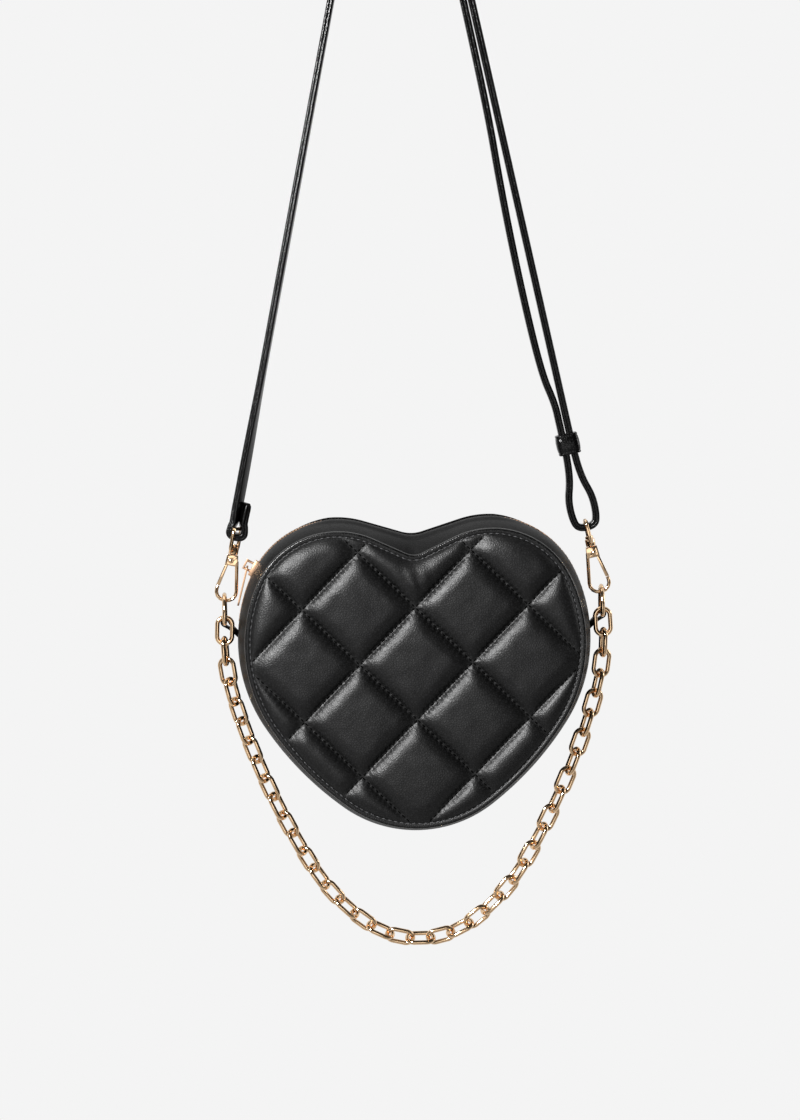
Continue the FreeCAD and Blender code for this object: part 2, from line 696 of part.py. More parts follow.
def chain():
    """All links in order from the left ring: neighbours are crossed, and all but the ends lie part turned."""
    first = link_inner() / 2 - RING_WIRE_R - LINK_GAP - chain_half_length()
    pitch = chain_pitch()
    level = chain_level()
    flat = link()
    links = []
    for k in range(CHAIN_LINKS):
        at, slope = chain_point(first + k * pitch)
        share = k / (CHAIN_LINKS - 1)
        slack_turn = LINK_ROLL_LEFT + (LINK_ROLL_RIGHT - LINK_ROLL_LEFT) * share
        from_end = min(k, CHAIN_LINKS - 1 - k)
        roll = Rotation(Vector(1, 0, 0), 90 * (k % 2) + min(slack_turn, LINK_ROLL_STEP * from_end))
        one = flat.copy()
        one.Placement = Placement(at + level, Rotation(Vector(0, 1, 0), -slope) * roll)
        links.append(one)
    return links


def build():
    """Every piece by name, with heights from the lobe centres."""
    bag = bag_block(0)
    shell = layer(0, LEATHER)
    zip_half = ZIP_GAP / 2
    tape_layer = layer(LEATHER, LEATHER + TAPE)
    tape_edge = TOOTH_REACH - TAPE_UNDER_TOOTH
    tape_back = tape_edge + TAPE_WIDTH
    lining_out = LEATHER + TAPE + LAYER_GAP
    lining_in = lining_out + LINING
    lining_y = SEAM_Y - LINING - LAYER_GAP
    lining_rim = Part.Face(seam_wire(-lining_out, -lining_y)).cut(Part.Face(seam_wire(-lining_in, -lining_y)))
    lining_layer = lining_rim.extrude(Vector(0, 2 * lining_y, 0))
    plate = Part.Face(seam_wire(-lining_in - LAYER_GAP, -SEAM_Y)).extrude(Vector(0, LINING, 0))
    points = zip_points()
    links = chain()
    back = Vector(0, 1, 0)
    origin = Vector(0, 0, 0)
    pieces = {
        "front_panel": quilted_panel(),
        "back_panel": plain_panel().mirror(origin, back),
        "lower_gusset": shell.common(box(-BIG, BIG, -BIG, BIG, -BIG, GUSSET_SPLIT_Z)),
        "zip_facing_front": shell.common(above_split(-BIG, -zip_half)),
        "zip_facing_back": shell.common(above_split(zip_half, BIG)),
        "zip_tape_front": tape_layer.common(above_split(-tape_back, -tape_edge)),
        "zip_tape_back": tape_layer.common(above_split(tape_edge, tape_back)),
        "zip_teeth_front": zip_row(points, 1, -TOOTH_REACH, TOOTH_OVERLAP),
        "zip_teeth_back": zip_row(points, 2, -TOOTH_OVERLAP, TOOTH_REACH),
        "zip_stops": zip_stops(points),
        "zip_slider": zip_slider(),
        "zip_pull": zip_pull(),
        "front_lining": plate,
        "back_lining": plate.mirror(origin, back),
        "gusset_lining": lining_layer.cut(above_split(-tape_back, tape_back)),
        "right_tab": side_tab(bag),
        "right_d_ring": standing_ring(),
        "right_hook_body": on_right(hook_body()),
        "right_hook_gate": on_right(hook_gate()),
        "right_gate_pin": on_right(gate_pin()),
        "right_gate_spring": on_right(gate_spring()),
    }
    for name in [n for n in pieces if n.startswith("right_")]:
        pieces[name.replace("right_", "left_")] = mirrored(pieces[name])
    pieces["right_swivel_eye"] = on_right(swivel_eye(0))
    pieces["left_swivel_eye"] = mirrored(on_right(swivel_eye(LEFT_EYE_TURN)))
    pieces["chain_end_links"] = Part.makeCompound([links[0], links[-1]])
    pieces["chain_links"] = Part.makeCompound(links[1:-1])
    pieces["shoulder_strap"] = strap()
    pieces["strap_keeper"] = on_right(keeper(KEEPER_BOTTOM))
    pieces["strap_end_keeper"] = on_right(keeper(END_KEEPER_BOTTOM))
    return pieces


def hang_height():
    """Height of the strap's underside at the top of its loop, above the lobe centres."""
    points, radii = strap_route()
    return max(p.z for p in points) - STRAP_THICK / 2


def report_places(hang):
    """Where the joints and fittings are, in the hung frame."""
    lean = Vector(-LEAN_SIN, 0, LEAN_COS)
    foot = Vector(RING_X, 0, HOOK_FOOT_Z)
    pin = beside_hook(1, PIN_V, PIN_HEIGHT)
    half = chain_half_length()
    wire_at = chain_point(half - link_inner() + RING_WIRE_R + LINK_GAP - LINK_WIRE_R)[0]
    places = {
        "lobe centre, left": Vector(-LOBE_X, 0, 0),
        "hook foot": foot,
        "hook axis": lean - hang,
        "hook collar": beside_hook(1, 0, COLLAR_BOTTOM),
        "gate pin": pin,
        "ring bar": Vector(RING_X, 0, RING_Z),
        "chain axis": wire_at + chain_level(),
        "chain low": Vector(0, CHAIN_Y, 0) + chain_level(),
        "pull eye": pull_eye(),
        "keeper": beside_hook(1, 0, KEEPER_BOTTOM),
    }
    for name, place in places.items():
        print(name, [round(c, 3) for c in place + hang])


hung = Vector(0, 0, -hang_height())
report_places(hung)
for name, shape in build().items():
    shape.translated(hung).exportStep("parts/" + name + ".step")
    print(name, "solids", len(shape.Solids), "volume", round(shape.Volume, 1), "valid", shape.isValid())
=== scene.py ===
import json
import math

import bmesh
import bpy
from mathutils import Matrix, Vector, noise
from mathutils.kdtree import KDTree


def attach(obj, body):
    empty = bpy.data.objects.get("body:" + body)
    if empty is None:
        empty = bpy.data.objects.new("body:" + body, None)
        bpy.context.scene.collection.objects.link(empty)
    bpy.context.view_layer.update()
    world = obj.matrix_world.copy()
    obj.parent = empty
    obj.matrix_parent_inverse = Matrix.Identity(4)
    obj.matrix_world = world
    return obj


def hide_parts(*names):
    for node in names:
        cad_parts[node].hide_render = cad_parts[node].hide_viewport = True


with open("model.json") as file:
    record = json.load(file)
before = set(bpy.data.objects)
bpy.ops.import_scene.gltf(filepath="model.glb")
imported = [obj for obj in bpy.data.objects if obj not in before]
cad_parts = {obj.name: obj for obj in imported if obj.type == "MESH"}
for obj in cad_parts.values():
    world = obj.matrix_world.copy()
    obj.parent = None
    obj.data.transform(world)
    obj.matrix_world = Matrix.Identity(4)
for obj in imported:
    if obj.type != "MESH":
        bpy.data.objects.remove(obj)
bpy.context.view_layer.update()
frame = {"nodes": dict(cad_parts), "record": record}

# Measures in millimetres, heights from the level of the lobe centres, unless a comment says metres

MM = 0.001
HANG = 449.011  # the frame's origin, where a peg carries the strap
MERGE = 0.000001  # metres: points closer than this become one

# The heart at the panels' seams, as arcs of two lobes, sides, flanks and a tip, with ends in degrees
SEAM_Y = 25.0
LOBE_X, LOBE_R = 40.5, 45.8
SIDE_R, FLANK_R = 79.0, 166.0
LOBE_END, SIDE_END, FLANK_END = 25.0, -33.0, -53.0
CLEFT_R, CLEFT_SLOPE = 10, 25
HALF_CLEFT_STEPS, SLOPE_STEPS, LOBE_STEPS, SIDE_STEPS = 6, 22, 84, 92
FLANK_STEPS, HALF_TIP_STEPS = 66, 46
HEART_MIDDLE = (0.0, -14.0)

# Between the seams the side bulges, and its cleft is wider and flatter
CREST, CREST_HALF = 4.0, 4
WIDER_CLEFT, FLATTER_SLOPE = 10, 8
SPLIT_Z = -9.0  # the zip facings end here and the gusset begins

# Rings, hooks and the strap on them
LEAN_DEGREES = 11.8
LEAN = math.radians(LEAN_DEGREES)
RING_X, RING_Z = 100.0, -3.2
HOOK_FOOT_Z = 8.6
EYE_BAR = 38.5
GATE_PIN = (0.6, 21.4)
STRAND = 2.1  # from the hook's middle line to the middle of the strap


def place(x, y, z):
    return Vector((x * MM, y * MM, (z - HANG) * MM))


def beside_hook(side, out, up):
    """A place out from a hook's middle line and up from its foot. side is 1 right, -1 left."""
    x = RING_X + out * math.cos(LEAN) - up * math.sin(LEAN)
    z = HOOK_FOOT_Z + out * math.sin(LEAN) + up * math.cos(LEAN)
    return place(side * x, 0, z)


def unit(t):
    """t, kept between 0 and 1."""
    return min(max(t, 0), 1)


def clear_selection():
    if bpy.context.object and bpy.context.object.mode != "OBJECT":
        bpy.ops.object.mode_set(mode="OBJECT")
    bpy.ops.object.select_all(action="DESELECT")


def select_alone(piece):
    clear_selection()
    piece.select_set(True)
    bpy.context.view_layer.objects.active = piece


def take_shape(model):
    """Points and faces of a modelled shape, which is then cleared away."""
    verts = [v.co.copy() for v in model.data.vertices]
    faces = [tuple(p.vertices) for p in model.data.polygons]
    bpy.data.objects.remove(model)
    return verts, faces


def tube_faces(rings, count):
    """Faces between closed rings of count points each."""
    faces = []
    for r in range(rings - 1):
        for i in range(count):
            n = (i + 1) % count
            faces.append((r * count + i, r * count + n, (r + 1) * count + n, (r + 1) * count + i))
    return faces


def curve_line(name, corners, steps):
    """Points along a smooth curve that follows its corner points."""
    curve = bpy.data.curves.new(name, "CURVE")
    curve.dimensions = "3D"
    curve.resolution_u = steps
    spline = curve.splines.new("NURBS")
    spline.points.add(len(corners) - 1)
    for knot, at in zip(spline.points, corners):
        knot.co = (*at, 1)
    spline.order_u = 3
    spline.use_endpoint_u = True
    route = bpy.data.objects.new(name, curve)
    bpy.context.collection.objects.link(route)
    bpy.context.view_layer.update()
    mesh = bpy.data.meshes.new_from_object(route)
    line = [v.co.copy() for v in mesh.vertices]
    bpy.data.objects.remove(route)
    bpy.data.meshes.remove(mesh)
    return line


def piece_from(name, verts, faces, material, body, smooth=True):
    mesh = bpy.data.meshes.new(name)
    mesh.from_pydata(verts, [], faces)
    mesh.validate()
    piece = bpy.data.objects.new(name, mesh)
    bpy.context.collection.objects.link(piece)
    piece.data.materials.append(material)
    shell = bmesh.new()
    shell.from_mesh(mesh)
    bmesh.ops.recalc_face_normals(shell, faces=shell.faces)
    for face in shell.faces:
        face.smooth = smooth
    shell.to_mesh(mesh)
    shell.free()
    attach(piece, body)
    return piece


# Materials

def new_material(name):
    material = bpy.data.materials.new(name)
    material.use_nodes = True
    nodes = material.node_tree.nodes
    return material, nodes, material.node_tree.links, nodes["Principled BSDF"]


def add_node(nodes, kind, sockets):
    node = nodes.new(kind)
    for socket, value in sockets.items():
        node.inputs[socket].default_value = value
    return node


def add_math(nodes, links, operation, *inputs):
    """A Math node whose inputs are plain numbers, or sockets to link."""
    node = nodes.new("ShaderNodeMath")
    node.operation = operation
    for socket, value in zip(node.inputs, inputs):
        if isinstance(value, float):
            socket.default_value = value
        else:
            links.new(value, socket)
    return node.outputs["Value"]


def two_tones(nodes, low, high, low_end=0.0, high_end=1.0):
    tones = nodes.new("ShaderNodeValToRGB")
    first, last = tones.color_ramp.elements
    first.position, first.color = low_end, (*low, 1)
    last.position, last.color = high_end, (*high, 1)
    return tones


def black_leather(name, grain, tone, rough, sheen):
    material, nodes, links, shader = new_material(name)
    where = nodes.new("ShaderNodeTexCoord")
    pores = add_node(nodes, "ShaderNodeTexVoronoi", {"Scale": grain, "Randomness": 0.9})
    pores.feature = "DISTANCE_TO_EDGE"
    creases = add_node(nodes, "ShaderNodeTexNoise", {"Scale": grain * 0.6, "Detail": 4})
    patches = add_node(nodes, "ShaderNodeTexNoise", {"Scale": 45, "Detail": 3})
    for texture in (pores, creases, patches):
        links.new(where.outputs["Object"], texture.inputs["Vector"])
    pore_height_and_pit_shade = add_node(nodes, "ShaderNodeMapRange", {"From Max": 0.35})
    links.new(pores.outputs["Distance"], pore_height_and_pit_shade.inputs["Value"])
    pore_bump = add_node(nodes, "ShaderNodeBump", {"Strength": 0.2, "Distance": 0.0003})
    links.new(pore_height_and_pit_shade.outputs["Result"], pore_bump.inputs["Height"])
    crease_bump = add_node(nodes, "ShaderNodeBump", {"Strength": 0.06, "Distance": 0.0006})
    links.new(creases.outputs["Fac"], crease_bump.inputs["Height"])
    links.new(pore_bump.outputs["Normal"], crease_bump.inputs["Normal"])
    links.new(crease_bump.outputs["Normal"], shader.inputs["Normal"])
    # Colour follows the pores: the pits are painted darker than the cell tops, partly the grain's own
    # tone and partly painted shade in its hollows
    dark = (tone * 0.1, tone * 0.1, tone * 0.1)
    light = (tone * 1.6, tone * 1.6, tone * 1.68)
    colour = two_tones(nodes, dark, light, 0.1, 0.9)
    links.new(pore_height_and_pit_shade.outputs["Result"], colour.inputs["Fac"])
    links.new(colour.outputs["Color"], shader.inputs["Base Color"])
    gloss = add_node(
        nodes, "ShaderNodeMapRange", {"To Min": rough - 0.05, "To Max": rough + 0.05}
    )
    links.new(patches.outputs["Fac"], gloss.inputs["Value"])
    links.new(gloss.outputs["Result"], shader.inputs["Roughness"])
    shader.inputs["Specular IOR Level"].default_value = sheen
    return material


def polished_metal(name, colour, rough):
    material, nodes, links, shader = new_material(name)
    where = nodes.new("ShaderNodeTexCoord")
    wear = add_node(nodes, "ShaderNodeTexNoise", {"Scale": 350, "Detail": 5})
    links.new(where.outputs["Object"], wear.inputs["Vector"])
    gloss = add_node(
        nodes, "ShaderNodeMapRange", {"To Min": rough - 0.05, "To Max": rough + 0.08}
    )
    links.new(wear.outputs["Fac"], gloss.inputs["Value"])
    links.new(gloss.outputs["Result"], shader.inputs["Roughness"])
    tint = two_tones(nodes, [c * 0.92 for c in colour], colour, 0.35, 0.65)
    links.new(wear.outputs["Fac"], tint.inputs["Fac"])
    links.new(tint.outputs["Color"], shader.inputs["Base Color"])
    shader.inputs["Metallic"].default_value = 1
    return material


def woven_cloth(name, tone, threads):
    material, nodes, links, shader = new_material(name)
    where = nodes.new("ShaderNodeTexCoord")
    ribs = []
    for axis in ("X", "Z"):
        rib = add_node(nodes, "ShaderNodeTexWave", {"Scale": threads, "Distortion": 0.6})
        rib.bands_direction = axis
        links.new(where.outputs["Object"], rib.inputs["Vector"])
        ribs.append(rib.outputs["Fac"])
    weave = add_math(nodes, links, "MULTIPLY", *ribs)
    bump = add_node(nodes, "ShaderNodeBump", {"Strength": 0.5, "Distance": 0.0002})
    links.new(weave, bump.inputs["Height"])
    links.new(bump.outputs["Normal"], shader.inputs["Normal"])
    dark = (tone * 0.6, tone * 0.6, tone * 0.62)
    light = (tone * 1.3, tone * 1.3, tone * 1.35)
    colour = two_tones(nodes, dark, light)
    links.new(weave, colour.inputs["Fac"])
    links.new(colour.outputs["Color"], shader.inputs["Base Color"])
    shader.inputs["Roughness"].default_value = 0.8
    return material


RUBBED_GLOSS = -0.18  # added to the roughness


def rub_rim(material):
    """The turned edge of a panel is rubbed glossier than its middle."""
    nodes, links = material.node_tree.nodes, material.node_tree.links
    roughness = nodes["Principled BSDF"].inputs["Roughness"]
    rim = nodes.new("ShaderNodeAttribute")
    rim.attribute_name = "rim"
    plain = roughness.links[0].from_socket
    rubbed = add_math(nodes, links, "MULTIPLY_ADD", rim.outputs["Fac"], RUBBED_GLOSS, plain)
    links.new(rubbed, roughness)


panel_leather = black_leather("panel leather", grain=780, tone=0.004, rough=0.43, sheen=0.4)
rub_rim(panel_leather)
gusset_leather = black_leather("gusset leather", grain=950, tone=0.0028, rough=0.44, sheen=0.1)
strap_leather = black_leather("strap leather", grain=900, tone=0.0015, rough=0.2, sheen=0.3)
gold_metal = polished_metal("pale gold metal", (0.95, 0.66, 0.4), rough=0.11)
tooth_metal = polished_metal("zip tooth metal", (0.68, 0.43, 0.27), rough=0.36)
spring_metal = polished_metal("spring wire", (0.62, 0.62, 0.62), rough=0.3)
tape_cloth = woven_cloth("zip tape cloth", tone=0.014, threads=260)
lining_cloth = woven_cloth("lining cloth", tone=0.02, threads=200)
quilt_thread = black_leather("quilting thread", grain=3000, tone=0.001, rough=0.6, sheen=0.05)
rim_thread = black_leather("edge thread", grain=3000, tone=0.09, rough=0.5, sheen=0.4)


# Camera: PIXEL is what one of the frame's 800 by 1120 pixels covers at the purse's middle

FRAME_HEIGHT, PIXEL = 1120, 0.53
CAMERA_DISTANCE = 1.9  # metres
CAMERA_AIM = (-6.6, 0, 27.8)
AZIMUTH, ELEVATION, CAMERA_ROLL = math.radians(-1.5), math.radians(5), math.radians(-1.2)
SENSOR = 36


def photo_camera():
    lens = bpy.data.cameras.new("photo camera")
    camera = bpy.data.objects.new("photo camera", lens)
    bpy.context.collection.objects.link(camera)
    lens.sensor_fit = "VERTICAL"
    lens.sensor_height = SENSOR
    lens.lens = SENSOR * CAMERA_DISTANCE / (FRAME_HEIGHT * PIXEL * MM)
    back = Vector((
        math.sin(AZIMUTH) * math.cos(ELEVATION),
        -math.cos(AZIMUTH) * math.cos(ELEVATION),
        math.sin(ELEVATION),
    ))
    camera.location = place(*CAMERA_AIM) + back * CAMERA_DISTANCE
    level = back.to_track_quat("Z", "Y").to_matrix().to_4x4()
    camera.rotation_euler = (level @ Matrix.Rotation(CAMERA_ROLL, 4, "Z")).to_euler()
    bpy.context.scene.camera = camera


photo_camera()


# Shoulder strap: corner points of its route, each out from a hook's middle line and up from its foot

LEFT_FOLD = (
    (-STRAND, 53), (-STRAND, 42), (-3.4, 39.7), (-3.9, EYE_BAR - 4.2),
    (3.9, EYE_BAR - 4.2), (3.4, 39.7), (STRAND, 42), (STRAND, 86),
)
RIGHT_RUN_FOOT = (STRAND, 99)
RIGHT_LOOP = ((STRAND, 74), (3.3, 61), (6.5, 51), (6.5, 41), (4.6, 35.25))
DOUBLED_RUN = (
    (-STRAND, 92), (-STRAND, 103), (-5.4, 120), (-6, 165), (-5, 215), (-STRAND, 270), (-STRAND, 345),
)
PEG_BEND, PEG_SHOULDER = 12, 19.7  # radius of the bend over the peg, and how far down it begins
STRAP_THICK, STRAP_WIDTH, STRAP_CORNER, LAYER_LINE = 3.7, 6.5, 0.9, 0.32
TAIL_ROUND, TAIL_STUB = 2.5, 0.05  # length of the tail's rounded end, and the share of it left blunt

# The four corners of a rounded section: their two sides, and the angle at which each begins
CORNERS = ((1, 1, 0), (-1, 1, 90), (-1, -1, 180), (1, -1, 270))


def corner_turns(first, points):
    """Angles of the points round a quarter circle."""
    return [math.radians(first + k * 90 / (points - 1)) for k in range(points)]


def strap_line():
    """From the sewn tail on the left, over the peg, to the free end on the right."""
    apex_x = PEG_BEND * math.tan(math.radians(90 - LEAN_DEGREES) / 2)
    apex = (RING_X + STRAND * math.cos(LEAN) - apex_x) / math.sin(LEAN)
    peg = [(STRAND, apex - PEG_SHOULDER), (STRAND, apex)]
    left = [*LEFT_FOLD, *peg]
    back_up = [(-out, up) for out, up in reversed(RIGHT_LOOP)]
    right = [*reversed(peg), RIGHT_RUN_FOOT, *RIGHT_LOOP, *back_up, *DOUBLED_RUN]
    corners = [beside_hook(-1, *p) for p in left] + [beside_hook(1, *p) for p in right]
    return curve_line("strap route", corners, steps=14)


def band_section(thick, width, corner, split):
    """Corners of a flat band's section. split is the depth of the line where its layers meet."""
    half_t, half_w = thick / 2, width / 2
    ring = []
    for a, b, first in CORNERS:
        for turn in corner_turns(first, 4):
            out = a * (half_t - corner) + corner * math.cos(turn)
            ring.append((out, b * (half_w - corner) + corner * math.sin(turn)))
        if split and a == b:
            ring += [(a * split, b * half_w), (0, b * (half_w - split)), (-a * split, b * half_w)]
    return ring


def swept_band(name, line, section, material, body, twist=None, tail_round=None):
    verts = []
    count = len(section)
    for i, at in enumerate(line):
        thin = 1.0
        if tail_round:
            short = 1 - min((at - line[0]).length / (tail_round * MM) + TAIL_STUB, 1)
            thin = math.sqrt(1 - short * short)
        along = (line[min(i + 1, len(line) - 1)] - line[max(i - 1, 0)]).normalized()
        across = Vector((-along.z, 0, along.x))
        turn = twist(at) if twist else 0.0
        for a, b in section:
            out = a * thin * math.cos(turn) - b * math.sin(turn)
            back = a * thin * math.sin(turn) + b * math.cos(turn)
            verts.append(at + across * (out * MM) + Vector((0, back * MM, 0)))
    faces = tube_faces(len(line), count)
    last = (len(line) - 1) * count
    faces += [tuple(range(count)), tuple(last + k for k in range(count))]
    return piece_from(name, verts, faces, material, body)


# The left run's turn in degrees, and heights from the hook's foot with the spans over which it changes
FOLD_TURN, RUN_TURN = 30, 8
TURN_TOP, TURN_SPAN = 130, 70
RUN_TOP, RUN_SPAN = 400, 200
FOLD_FOOT, FOLD_SPAN = 38, 10
FOOT_SHARE = 0.3  # of the turn, left at the eye's bar


def strap_turn(at):
    """The left run turns its face to the front, most of all above the sewn fold."""
    if at.x > 0:
        return 0.0
    up = at.z / MM + HANG - HOOK_FOOT_Z
    fold = unit((TURN_TOP - up) / TURN_SPAN)
    face = FOLD_TURN * fold * fold * (3 - 2 * fold)
    face += RUN_TURN * unit((RUN_TOP - up) / RUN_SPAN) * (1 - fold)
    return math.radians(face * (FOOT_SHARE + (1 - FOOT_SHARE) * unit((up - FOLD_FOOT) / FOLD_SPAN)))


KEEPER_OUT, KEEPER_BACK, KEEPER_HALF = 3.1, 2.4, 5.5
KEEPER_EDGE = (  # distance from the strands, and height from the band's middle
    (1.05, -5.3), (1.15, -5.45), (2.4, -5.45), (2.72, -5.2),
    (2.8, -4.6), (2.6, -4.1), (2.85, -3.5), (3.1, -1.5),
)
LOOP_KEEPER_UP, END_KEEPER_UP = 75, 331


def strap_keeper(name, node, bottom, body):
    """A leather band round both strands, full in the middle and creased near its two edges."""
    path = []
    for a, b, first in CORNERS:
        for turn in corner_turns(first, 6):
            path.append((a * KEEPER_OUT, b * KEEPER_BACK, math.cos(turn), math.sin(turn)))
    profile = [*KEEPER_EDGE, *[(t, -w) for t, w in reversed(KEEPER_EDGE)]]
    up = Vector((-math.sin(LEAN), 0, math.cos(LEAN)))
    out = Vector((math.cos(LEAN), 0, math.sin(LEAN)))
    middle = beside_hook(1, 0, bottom + KEEPER_HALF)
    verts, faces = [], []
    for a, b, ca, cb in path:
        for t, w in profile:
            wall = out * (a + ca * t) + Vector((0, b + cb * t, 0)) + up * w
            verts.append(middle + wall * MM)
    count, rounds = len(profile), len(path)
    for i in range(rounds):
        n = (i + 1) % rounds
        for k in range(count):
            m = (k + 1) % count
            faces.append((i * count + k, n * count + k, n * count + m, i * count + m))
    piece = piece_from(name, verts, faces, strap_leather, body)
    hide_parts(node)
    return piece


strap_points = strap_line()
strap_section = band_section(STRAP_THICK, STRAP_WIDTH, STRAP_CORNER, LAYER_LINE)
shoulder_strap = swept_band(
    "shoulder_strap_leather", strap_points, strap_section, strap_leather, "strap",
    twist=strap_turn, tail_round=TAIL_ROUND,
)
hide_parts("shoulder_strap")
loop_keeper = strap_keeper("strap_keeper_leather", "strap_keeper", LOOP_KEEPER_UP, "keeper")
end_keeper = strap_keeper("strap_end_keeper_leather", "strap_end_keeper", END_KEEPER_UP, "strap")


# Heart outline, clockwise from the bottom of the cleft: the same arcs as the solids

def heart_outline(grow, slope, cleft_r):
    def polar(centre, radius, degrees):
        angle = math.radians(degrees)
        return centre[0] + radius * math.cos(angle), centre[1] + radius * math.sin(angle)

    def sweep(centre, radius, first, last, steps):
        return [polar(centre, radius, first + (last - first) * k / steps) for k in range(steps)]

    tilt = math.radians(slope)
    centre, radius, start = (LOBE_X, 0), LOBE_R, 90 + slope
    shoulder = polar(centre, radius + grow, start)
    cleft = (0, shoulder[1] - shoulder[0] * math.tan(tilt) + cleft_r / math.cos(tilt))
    foot = polar(cleft, cleft_r, slope - 90)
    right = sweep(cleft, cleft_r, -90, slope - 90, HALF_CLEFT_STEPS)
    for k in range(SLOPE_STEPS):
        x = foot[0] + (shoulder[0] - foot[0]) * k / SLOPE_STEPS
        right.append((x, foot[1] + (shoulder[1] - foot[1]) * k / SLOPE_STEPS))
    for next_radius, end, steps in (
        (SIDE_R, LOBE_END, LOBE_STEPS),
        (FLANK_R, SIDE_END, SIDE_STEPS),
        (None, FLANK_END, FLANK_STEPS),
    ):
        right += sweep(centre, radius + grow, start, end, steps)
        if next_radius is None:
            next_radius = radius + centre[0] / math.cos(math.radians(FLANK_END))
        centre = polar(centre, radius - next_radius, end)
        radius, start = next_radius, end
    right += sweep(centre, radius + grow, start, -90, HALF_TIP_STEPS)
    tip = polar(centre, radius + grow, -90)
    return right + [tip] + [(-x, z) for x, z in reversed(right[1:])]


def seam_outline(inset):
    return heart_outline(-inset, CLEFT_SLOPE, CLEFT_R + inset)


def bulge_outline(inset, y):
    away = max(0.0, (abs(y) - CREST_HALF) / (SEAM_Y - CREST_HALF))
    fullness = 1 - away * away
    slope = CLEFT_SLOPE - FLATTER_SLOPE * fullness
    return heart_outline(CREST * fullness - inset, slope, CLEFT_R + WIDER_CLEFT * fullness + inset)


def straight_outline(inset, y):
    return seam_outline(inset)


def toward_middle(x, z, share):
    """A point of the heart, drawn in to a share of its distance from the heart's middle."""
    return tuple(m + (c - m) * share for c, m in zip((x, z), HEART_MIDDLE))


# How many points an outline has, and the one below the right lobe where the zip facings end
OUTLINE = len(seam_outline(0))
SPLIT = next(
    i for i, (x, z) in enumerate(bulge_outline(0, 0)) if i > OUTLINE // 6 and z < SPLIT_Z
)


# Panels: a height over the seam plane, from the distances to the edge and to the stitched channels

EDGE_HEIGHT, EDGE_WIDTH = 3.0, 1.0
QUILT_EDGE, PLAIN_EDGE = 0.8, 0.6  # how far the edge rounds up
GROOVE, GROOVE_WIDTH = 2.75, 0.55  # pressed in by the edge stitches
QUILT_GROOVE, PLAIN_GROOVE = 0.35, 0.3
PAD_START, PAD_RISE = 3.2, 9.0
QUILT_PAD, PLAIN_PAD = 4.3, 1.4
CRISP, SOFT = 0.66, 0.34  # shares of the two curves that a pad rises by
QUILT, QUILT_Z = 59.2, 5.3  # channels of the quilting: their spacing along x, and where two cross
CHANNEL_HALF, CHANNEL_RISE, CHANNEL_FLOOR = 0.65, 8.0, 0.02
STITCH, STITCH_PULL, PULL_REACH = 3.2, 0.5, 1.5
RIPPLE, RIPPLE_SCALE = 0.3, 0.11
PUCKER, PUCKER_SCALE = 0.03, 0.4
GATHERS, GATHERS_X, GATHERS_Z = 0.55, -1, 17  # wrinkles under the cleft
GATHERS_WIDE, GATHERS_HIGH = 9, 8
DEEP_INSIDE = 60  # far enough from the edge for it not to matter
INNER_REACH = 80  # counted as the distance from the innermost inset to the middle


def shoulder_curve(distance, width):
    t = 1 - unit(distance / width)
    return math.sqrt(1 - t * t)


def pillow(distance, width):
    """A pad's rise from its stitches, part crisp and part soft."""
    t = 1 - unit(distance / width)
    soft = 1 - math.exp(-max(distance, 0) * 1.3 / width)
    return CRISP * (1 - t * t) ** 0.7 + SOFT * soft


def groove_depth(edge):
    """1 in the middle of the groove, fading to 0 beside it."""
    return math.exp(-((edge - GROOVE) / GROOVE_WIDTH) ** 2)


def channel_distances(x, z):
    """For both directions of the quilting: how far the channel is, and how far along it."""
    rising, falling = x + z - QUILT_Z, x - z + QUILT_Z
    found = []
    for across, along in ((rising, falling), (falling, rising)):
        nearest = round(across / QUILT) * QUILT
        found.append((abs(across - nearest) / math.sqrt(2), along / math.sqrt(2)))
    return found


def quilt_height(x, z, edge):
    height = EDGE_HEIGHT + QUILT_EDGE * shoulder_curve(edge, EDGE_WIDTH)
    height -= QUILT_GROOVE * groove_depth(edge)
    lift = pillow(edge - PAD_START, PAD_RISE)
    for distance, along in channel_distances(x, z):
        pull = STITCH_PULL * math.cos(2 * math.pi * along / STITCH)
        pull = pull * math.exp(-distance / PULL_REACH) * unit((edge - 3) / 3)
        rise = pillow(distance - CHANNEL_HALF - pull, CHANNEL_RISE)
        lift *= CHANNEL_FLOOR + (1 - CHANNEL_FLOOR) * rise
    ripple = noise.noise(Vector((x * RIPPLE_SCALE, z * RIPPLE_SCALE, 3.1)))
    pucker = noise.noise(Vector((x * PUCKER_SCALE, z * PUCKER_SCALE, 8.7)))
    right, up = x - GATHERS_X, z - GATHERS_Z
    gathers = math.exp(-(right / GATHERS_WIDE) ** 2 - (up / GATHERS_HIGH) ** 2)
    gathers *= math.cos(0.8 * right + 0.2 * up)
    height += QUILT_PAD * lift
    height += (RIPPLE * ripple + GATHERS * gathers) * lift
    return height + PUCKER * pucker * min(1, edge / 4)


def plain_height(x, z, edge):
    rim = PLAIN_EDGE * shoulder_curve(edge, EDGE_WIDTH) - PLAIN_GROOVE * groove_depth(edge)
    return EDGE_HEIGHT + rim + PLAIN_PAD * shoulder_curve(edge - PAD_START, PAD_RISE)


UNDER_EDGE = ((0.3, 0.4), (-0.2, 1.8))  # inset and height of the rings below the turned edge
PANEL_INSETS = (
    0, 0.2, 0.45, 0.75, 1.1, 1.5, 1.9, 2.2, 2.5, 2.8, 3.1, 3.5, 4, 4.6, 5.3, 6.1, 7, 8, 9, 10, 11, 12,
)
PANEL_RINGS = 104
RUBBED_RINGS = range(2, 7)  # the turned edge itself


